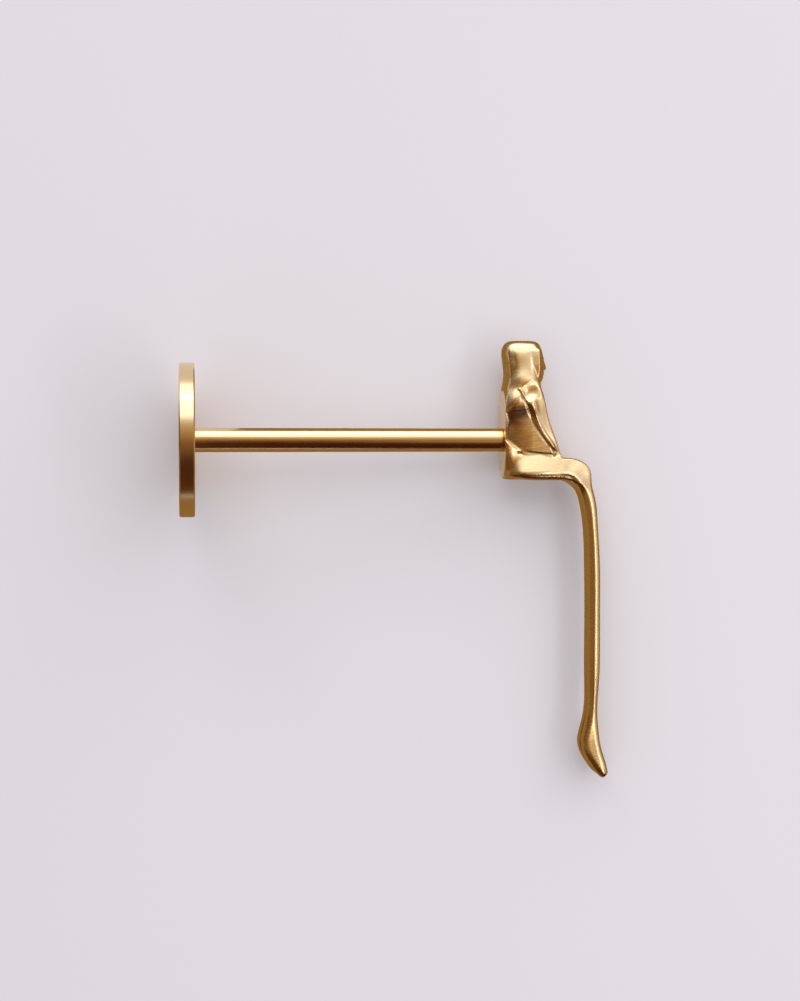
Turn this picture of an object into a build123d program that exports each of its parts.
"""Curtain hook: a seated figure with long hanging legs, on a stem that stands out from a round wall plate.

Millimetres. The origin is the centre of the wall plate's back face, +X leaves the wall along the stem,
+Z is up and the figure faces away from the wall, so the curtain hangs between its legs and the wall.
"""

import os
from math import cos, radians, sin, sqrt, tan

from build123d import *

# Wall plate, a turned disc
plate_diameter = 50.0
plate_thickness = 5.0
plate_edge_chamfer = 0.4

# Countersunk holes for the two wall screws, one above the stem and one below it
wall_screw_spacing = 34.0
wall_screw_hole_diameter = 4.5
wall_screw_head_diameter = 8.6
countersink_angle = 90.0

# Stem, a bar tapped at both ends that sits in a shallow seat in the plate
stem_diameter = 8.0
stem_length = 101.0  # clear length, from the plate's front face to the figure's back
stem_seat_depth = 1.0
stem_seat_clearance = 0.05  # on the radius
stem_edge_chamfer = 0.3

# Thread that holds the stem to the plate and to the figure, drawn as plain cylinders
thread_diameter = 5.0
thread_clearance = 0.05  # on the radius
thread_end_chamfer = 0.5
tap_spare_depth = 2.0  # how much deeper than its thread each tapped hole is

# Countersunk screw, from the plate's back into the stem
plate_screw_length = 15.0
plate_screw_head_diameter = 9.4
plate_screw_head_inset = 0.3  # how far the head lies below the plate's back face
plate_screw_hole_clearance = 0.25  # on the radius, where the screw passes through the plate
plate_screw_socket = 3.0  # across flats
plate_screw_socket_depth = 1.6

# Headless stud, half in the stem and half in the figure
stud_length = 18.0
stud_socket = 2.5  # across flats
stud_socket_depth = 2.5

# Trunk of the figure, from the underside of its seat to its collar
seat_drop = 13.0  # stem axis to the underside of the seat
trunk_height = 31.0
trunk_depth = 12.8  # back to chest
lap_depth = 17.6  # back to the front of the lap
hip_width = 13.6
waist_width = 10.6
back_width = 14.4  # of the flat back, where the stem meets it
shoulder_width = 16.8
back_stock = 0.5  # ground off the back to make it flat
back_curve = 1.6  # how far the back curves in at the seat

# Neck, hair and face
head_height = 14.5  # collar to crown
head_depth = 12.9
head_width = 11.6
neck_depth = 11.4
neck_width = 12.0  # of the hair at the nape
nape_hollow = 1.5  # how far the nape lies in front of the back
crown_round = 3.4  # how far the crown rounds in at the top of the head
face_height = 11.2
face_width = 8.8
face_reach = 14.1  # figure's back to the front of the face
face_rise = 7.2  # collar to the middle of the face
nose_length = 2.6
nose_radius = 0.85  # at its lower end
nose_bridge_radius = 0.25
nose_proud = 0.5
eye_radius = 0.9  # of the hollow for each eye
eye_depth = 0.3
eye_spacing = 3.5
eye_rise = 0.9  # middle of the face to the eyes
mouth_width = 2.4
mouth_radius = 0.25  # of the groove for the mouth
mouth_drop = 2.7  # middle of the face to the mouth

# Arms, in relief on the sides of the trunk, from the shoulders down to the lap
arm_length = 26.6
arm_depth = 7.5
arm_proud = 1.3  # how far an arm stands out from the side of the trunk
arm_slope = 26.0  # degrees from upright
arm_slant = 1.7  # how far the outer side of each arm leans in towards its front
shoulder_inset = 6.9  # figure's back to the middle of the shoulder
wrist_depth = 1.6
wrist_gap = 7.0  # between the two wrists

# Thighs and knees
thigh_depth = 7.6
thigh_width = 8.4
thigh_sag = 0.3  # how far the thighs hang below the seat
thigh_slant = 2.2  # how far the outer side of each thigh leans in towards its top
knee_reach = 26.6  # figure's back to the back of the shins, just under the knees
knee_width = 6.2
knee_bend_radius = 7.5  # under the knees

# Shins and feet
shin_depth = 3.9
shin_width = 5.4
shin_length = 71.0  # from the bend under the knee to the ankle
shin_bow = 2.35  # how far the shins curve forward
shin_slant = 0.5  # how far the outer side of each shin leans in towards its front
leg_spacing = 4.8  # between the middles of the two shins
foot_length = 19.9  # from the ankle down to the middle of the toes
foot_depth = 6.2  # at the heel
foot_width = 5.2
foot_reach = 4.2  # how far the toes point forward of the ankle
foot_tilt = 46.0  # degrees, of the toes
toe_spacing = 8.2  # between the middles of the two sets of toes

# Places that follow from the sizes above
figure_back = plate_thickness + stem_length
stem_start = plate_thickness - stem_seat_depth
tap_radius = thread_diameter / 2 + thread_clearance
plate_screw_end = plate_screw_head_inset + plate_screw_length
collar = trunk_height - seat_drop
rough_back = figure_back - back_stock
face_front = figure_back + face_reach
face_axis = face_front - face_width / 2
face_arc = (face_height**2 + face_width**2) / (4 * face_width)  # radius of the face's outline
face_middle = collar + face_rise
knee_x = figure_back + knee_reach - knee_bend_radius
knee_z = -seat_drop - thigh_sag - knee_bend_radius
ankle_x = knee_x + knee_bend_radius + 0.80 * shin_bow + 0.46 * shin_depth
ankle_z = knee_z - shin_length

back_side = Plane(origin=(0, 0, 0), x_dir=(0, 1, 0), z_dir=(-1, 0, 0))
plate_front = Plane.YZ.offset(plate_thickness)


def level(height, back, depth, back_span, front_span, back_share, front_share):
    """Sketch one level of the trunk, an outline with one width at its back and another at its front.

    The corner radii are shares of the width that they round off.
    """
    with BuildSketch(Plane.XY.offset(height)) as outline:
        with BuildLine():
            Polyline(
                (back, -back_span / 2),
                (back + depth, -front_span / 2),
                (back + depth, front_span / 2),
                (back, back_span / 2),
                close=True,
            )
        make_face()
        fillet(outline.vertices().group_by(Axis.X)[0], back_share * back_span)
        fillet(outline.vertices().group_by(Axis.X)[-1], front_share * front_span)
    return outline.sketch


def across(x, y, z, lean, depth, width, roundness, slant=0):
    """Sketch one section of a limb, centred on (x, y, z).

    The limb leans forward from straight down by lean degrees, and roundness is a share of the shorter side.
    Its outer side leans in by slant towards the front.
    """
    down = (sin(radians(lean)), 0, -cos(radians(lean)))
    forward = (cos(radians(lean)), 0, sin(radians(lean)))
    with BuildSketch(Plane(origin=(x, y, z), x_dir=forward, z_dir=down)) as outline:
        with BuildLine():
            Polyline(
                (-depth / 2, -width / 2),
                (depth / 2, -width / 2),
                (depth / 2, width / 2 - slant),
                (-depth / 2, width / 2),
                close=True,
            )
        make_face()
        fillet(outline.vertices(), roundness * min(depth, width - slant))
    return outline.sketch


def face_surface(out, rise):
    """Where the front of the face lies along the stem, at a place out to the side and up from its middle."""
    reach = sqrt(face_arc**2 - rise**2) - face_arc + face_width / 2
    return face_axis + sqrt(reach**2 - out**2)


def trunk_levels():
    """The trunk, neck and hair, level by level from the seat to the crown."""
    levels = []
    # share of the height, share of the back's curve, depth, width at the back, width at the front, corners
    for share, curve, depth, back_span, front_span, back_corner, front_corner in (
        (0.00, 1.00, 0.92 * trunk_depth, 0.72 * hip_width, 0.74 * hip_width, 0.30, 0.30),
        (0.05, 0.45, 1.08 * trunk_depth, 0.90 * hip_width, 0.92 * hip_width, 0.28, 0.30),
        (0.17, 0.05, 1.20 * trunk_depth, hip_width, hip_width, 0.22, 0.26),
        (0.29, 0.00, 1.02 * lap_depth, back_width, 0.1 * hip_width + 0.9 * waist_width, 0.12, 0.06),
        (0.42, 0.00, 0.94 * lap_depth, back_width, 0.98 * waist_width, 0.09, 0.10),
        (0.58, 0.00, 0.85 * lap_depth, back_width, waist_width, 0.10, 0.20),
        (0.75, 0.00, 1.05 * trunk_depth, 0.97 * shoulder_width, 0.92 * shoulder_width, 0.18, 0.30),
        (0.87, 0.12, 1.00 * trunk_depth, 0.92 * shoulder_width, shoulder_width, 0.30, 0.30),
        (0.95, 0.40, 0.97 * trunk_depth, 0.80 * shoulder_width, 0.86 * shoulder_width, 0.32, 0.32),
    ):
        height = share * trunk_height - seat_drop
        back = rough_back + curve * back_curve
        levels.append(level(height, back, depth, back_span, front_span, back_corner, front_corner))
    # share of the height, how far the back lies in, depth, width, corners
    for share, inset, depth, span, corner in (
        (0.09, 0.90 * nape_hollow, neck_depth, 1.12 * neck_width, 0.36),
        (0.21, 1.00 * nape_hollow, neck_depth, 1.03 * neck_width, 0.40),
        (0.38, 0.80 * nape_hollow, 0.5 * (neck_depth + head_depth), 0.5 * (neck_width + head_width), 0.43),
        (0.58, 0.45 * nape_hollow, 0.98 * head_depth, 0.97 * head_width, 0.45),
        (0.76, 0.30 * nape_hollow, head_depth, 0.89 * head_width, 0.45),
        (0.88, 0.25 * crown_round, 0.96 * head_depth, 0.77 * head_width, 0.45),
        (0.96, 0.52 * crown_round, 0.84 * head_depth, 0.61 * head_width, 0.45),
        (1.00, 1.00 * crown_round, 0.58 * head_depth, 0.40 * head_width, 0.45),
    ):
        height = collar + share * head_height
        levels.append(level(height, rough_back + inset, depth, span, span, corner, corner))
    return levels


def arm_sections():
    """One arm, from the shoulder to the wrist that rests in the lap."""
    sections = []
    # share of the length, depth, how far out the arm's side is
    for share, depth, outer in (
        (-0.20, 0.50 * arm_depth, 0.20 * shoulder_width),
        (-0.06, 0.90 * arm_depth, 0.38 * shoulder_width),
        (0.08, 1.10 * arm_depth, 0.48 * shoulder_width),
        (0.24, arm_depth, 0.25 * shoulder_width + 0.25 * waist_width + arm_proud),
        (0.48, 0.64 * arm_depth, 0.5 * waist_width + arm_proud),
        (0.68, 0.46 * arm_depth, 0.5 * waist_width + 0.6 * arm_proud),
        (0.90, 1.30 * wrist_depth, 0.5 * wrist_gap + 1.2 * wrist_depth),
        (1.00, 0.90 * wrist_depth, 0.5 * wrist_gap + wrist_depth),
    ):
        x = figure_back + shoulder_inset + share * arm_length * sin(radians(arm_slope))
        z = collar - share * arm_length * cos(radians(arm_slope))
        width = (1 - share) * 0.35 * shoulder_width + share * 1.2 * wrist_depth
        slant = min(1, 1.1 - share) * arm_slant
        sections.append(across(x, width / 2 - outer, z, arm_slope, depth, width, 0.24, slant))
    return sections


def leg_sections():
    """One leg, along the thigh, round the knee and down to the toes."""
    sections = []
    # share of the thigh, depth, width, how far out its middle is, how far its underside is above the seat's,
    # share of the slant
    for share, depth, width, out, lift, slant in (
        (0.04, 0.70 * thigh_depth, 0.56 * thigh_width, 0.32 * thigh_width, 0.26 * thigh_depth, 0.4),
        (0.14, 1.28 * thigh_depth, 0.86 * thigh_width, 0.46 * thigh_width, 0.07 * thigh_depth, 0.8),
        (0.32, 1.20 * thigh_depth, thigh_width, 0.50 * thigh_width, 0, 1.0),
        (0.62, 1.13 * thigh_depth, 0.97 * thigh_width, 0.48 * thigh_width, -0.8 * thigh_sag, 1.0),
    ):
        x = figure_back + share * (knee_x - figure_back)
        z = depth / 2 - seat_drop + lift
        sections.append(across(x, -out, z, 90, depth, width, 0.26, slant * thigh_slant))
    # angle round the bend, depth, width, how far out the middle is, roundness, share of the slant
    for turn, depth, width, out, roundness, slant in (
        (0, 0.99 * thigh_depth, 0.5 * (thigh_width + knee_width), 0.70 * leg_spacing, 0.28, 0.9),
        (22, 1.05 * thigh_depth, knee_width, 0.64 * leg_spacing, 0.32, 0.8),
        (42, 0.98 * thigh_depth, knee_width, 0.58 * leg_spacing, 0.36, 0.6),
        (60, 1.26 * shin_depth, shin_width, 0.53 * leg_spacing, 0.42, 0.4),
        (78, 1.13 * shin_depth, shin_width, 0.50 * leg_spacing, 0.44, 0.3),
    ):
        x = knee_x + (knee_bend_radius + depth / 2) * sin(radians(turn))
        z = knee_z + (knee_bend_radius + depth / 2) * cos(radians(turn))
        sections.append(across(x, -out, z, 90 - turn, depth, width, roundness, slant * thigh_slant))
    # share of the shin, share of its bow, depth, width
    for share, bow, depth, width in (
        (0.09, 0.60, 0.98 * shin_depth, shin_width),
        (0.28, 0.90, 1.01 * shin_depth, shin_width),
        (0.55, 1.00, 0.98 * shin_depth, shin_width),
        (0.83, 0.98, 0.95 * shin_depth, 0.94 * shin_width),
        (1.00, 0.80, 0.92 * shin_depth, 0.86 * shin_width),
    ):
        x = knee_x + knee_bend_radius + bow * shin_bow + depth / 2
        z = knee_z - share * shin_length
        sections.append(across(x, -leg_spacing / 2, z, 0, depth, width, 0.46, shin_slant))
    # share of the foot, share of its reach, depth, width, share of the splay, share of the tilt
    for share, reach, depth, width, splay, tilt in (
        (0.21, -0.08, 0.80 * foot_depth, 0.90 * foot_width, 0.05, 0.16),
        (0.41, -0.14, 1.00 * foot_depth, 0.94 * foot_width, 0.20, 0.26),
        (0.57, -0.02, 1.00 * foot_depth, foot_width, 0.45, 0.38),
        (0.77, 0.38, 0.84 * foot_depth, 0.98 * foot_width, 0.75, 0.62),
        (0.94, 0.80, 0.60 * foot_depth, 0.84 * foot_width, 0.95, 0.86),
        (1.00, 1.00, 0.40 * foot_depth, 0.66 * foot_width, 1.00, 1.00),
    ):
        x = ankle_x + reach * foot_reach
        y = leg_spacing / 2 + splay * (toe_spacing - leg_spacing) / 2
        z = ankle_z - share * foot_length
        sections.append(across(x, -y, z, tilt * foot_tilt, depth, width, 0.44, shin_slant))
    return sections


# Wall plate
with BuildPart() as wall_plate:
    with BuildSketch(Plane.YZ):
        Circle(plate_diameter / 2)
    extrude(amount=plate_thickness)
    chamfer(wall_plate.edges(), plate_edge_chamfer)
    with Locations(plate_front):
        Hole(stem_diameter / 2 + stem_seat_clearance, stem_seat_depth)
        with GridLocations(0, wall_screw_spacing, 1, 2):
            CounterSinkHole(
                wall_screw_hole_diameter / 2,
                wall_screw_head_diameter / 2,
                plate_thickness,
                countersink_angle,
            )
    with Locations(back_side):
        CounterSinkHole(
            thread_diameter / 2 + plate_screw_hole_clearance,
            plate_screw_head_diameter / 2 + plate_screw_head_inset * tan(radians(countersink_angle / 2)),
            plate_thickness,
            countersink_angle,
        )

# Stem
with BuildPart() as stem:
    with BuildSketch(Plane.YZ.offset(stem_start)):
        Circle(stem_diameter / 2)
    extrude(amount=figure_back - stem_start)
    chamfer(stem.edges(), stem_edge_chamfer)
    with Locations(back_side.offset(-stem_start)):
        Hole(tap_radius, plate_screw_end - stem_start + tap_spare_depth)
    with Locations(Plane.YZ.offset(figure_back)):
        Hole(tap_radius, stud_length / 2 + tap_spare_depth)

# Screw that holds the stem to the plate, turned about the stem's axis
with BuildPart() as plate_screw:
    with BuildSketch(Plane.XZ):
        with BuildLine():
            head_radius = plate_screw_head_diameter / 2
            neck = (head_radius - thread_diameter / 2) / tan(radians(countersink_angle / 2))
            Polyline(
                (plate_screw_head_inset, 0),
                (plate_screw_head_inset, head_radius),
                (plate_screw_head_inset + neck, thread_diameter / 2),
                (plate_screw_end - thread_end_chamfer, thread_diameter / 2),
                (plate_screw_end, thread_diameter / 2 - thread_end_chamfer),
                (plate_screw_end, 0),
                close=True,
            )
        make_face()
    revolve(axis=Axis.X)
    with BuildSketch(Plane.YZ.offset(plate_screw_head_inset)):
        RegularPolygon(plate_screw_socket / 2, 6, major_radius=False)
    extrude(amount=plate_screw_socket_depth, mode=Mode.SUBTRACT)

# Stud that holds the figure to the stem
with BuildPart() as figure_stud:
    with BuildSketch(Plane.YZ.offset(figure_back - stud_length / 2)):
        Circle(thread_diameter / 2)
    extrude(amount=stud_length)
    chamfer(figure_stud.edges(), thread_end_chamfer)
    with BuildSketch(Plane.YZ.offset(figure_back + stud_length / 2)):
        RegularPolygon(stud_socket / 2, 6, major_radius=False)
    extrude(amount=-stud_socket_depth, mode=Mode.SUBTRACT)

# Face, an egg that stands out of the hair, with a nose, two hollows for the eyes and a groove for the mouth
with BuildPart() as face:
    with BuildSketch(Plane.XZ):
        with BuildLine():
            outline = ThreePointArc(
                (face_axis, face_middle + face_height / 2),
                (face_front, face_middle),
                (face_axis, face_middle - face_height / 2),
            )
            Line(outline @ 1, outline @ 0)
        make_face()
    revolve(axis=Axis((face_axis, 0, 0), (0, 0, 1)))
    with Locations((face_front + nose_proud - nose_radius, 0, face_middle - 0.6 * nose_length)):
        Cone(nose_radius, nose_bridge_radius, nose_length, align=(Align.CENTER, Align.CENTER, Align.MIN))
    eye_x = face_surface(eye_spacing / 2, eye_rise) + eye_radius - eye_depth
    for side in (-1, 1):
        with Locations((eye_x, side * eye_spacing / 2, face_middle + eye_rise)):
            Sphere(eye_radius, mode=Mode.SUBTRACT)
    with Locations((face_surface(0, mouth_drop), 0, face_middle - mouth_drop)):
        Cylinder(mouth_radius, mouth_width, rotation=(90, 0, 0), mode=Mode.SUBTRACT)

# One arm, and one leg cut along the middle plane where it meets the other
with BuildPart() as arm:
    loft(arm_sections())

with BuildPart() as leg:
    loft(leg_sections())
    split(bisect_by=Plane.XZ, keep=Keep.TOP)

# Seated figure, one casting with its back ground flat and tapped for the stud
with BuildPart() as seated_figure:
    loft(trunk_levels())
    add(face.part)
    add(arm.part)
    mirror(arm.part, about=Plane.XZ)
    add(leg.part)
    mirror(leg.part, about=Plane.XZ)
    split(bisect_by=Plane.YZ.offset(figure_back), keep=Keep.TOP)
    with Locations(back_side.offset(-figure_back)):
        Hole(tap_radius, stud_length / 2 + tap_spare_depth)

os.makedirs("parts", exist_ok=True)
wall_plate.part.label = "wall_plate"
export_step(wall_plate.part, "parts/wall_plate.step")
stem.part.label = "stem"
export_step(stem.part, "parts/stem.step")
plate_screw.part.label = "plate_screw"
export_step(plate_screw.part, "parts/plate_screw.step")
figure_stud.part.label = "figure_stud"
export_step(figure_stud.part, "parts/figure_stud.step")
seated_figure.part.label = "seated_figure"
export_step(seated_figure.part, "parts/seated_figure.step")
